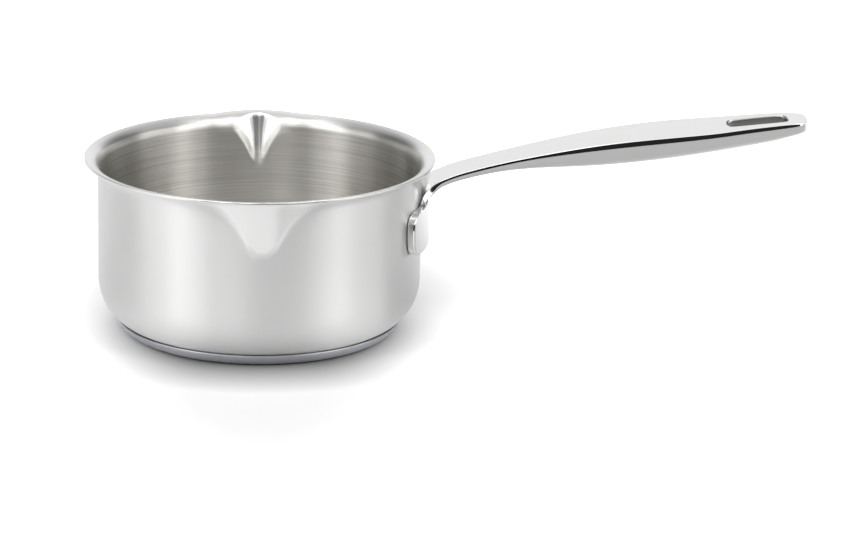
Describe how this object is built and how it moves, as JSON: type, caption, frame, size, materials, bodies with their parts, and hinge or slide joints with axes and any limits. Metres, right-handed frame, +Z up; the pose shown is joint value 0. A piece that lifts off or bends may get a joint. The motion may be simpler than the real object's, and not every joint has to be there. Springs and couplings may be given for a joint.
{
  "type": "milk pan",
  "caption": "Small stainless steel milk pan: drawn vessel with a flared rim and pouring lips, an encapsulated base, and a long hollow handle with a hanging slot.",
  "frame": {"origin": "on the pan's axis, at the face that it rests on", "axes": "+Z up along the pan's axis, +X along the handle from the pan to its tip, the pouring lips face -Y and +Y"},
  "size_m": [0.3128, 0.156, 0.0938],
  "materials": {
    "vessel_steel": "stainless steel, satin outside with a polished rim, brushed round the inside",
    "base_steel": "magnetic stainless steel, satin",
    "spreader_aluminium": "bare, sealed in the base",
    "braze_metal": "bare, sealed in the base",
    "handle_steel": "stainless steel, mirror polished",
    "weld_steel": "spot weld metal, hidden behind the pad"
  },
  "bodies": {
    "root": {"vessel": "vessel_steel", "base_cap": "base_steel", "spreader_disc": "spreader_aluminium", "braze_lower": "braze_metal", "braze_upper": "braze_metal", "handle_root": "handle_steel", "pad_welds": "weld_steel", "grip_top": "handle_steel", "grip_belly": "handle_steel", "slot_liner": "handle_steel"}
  },
  "joints": []
}
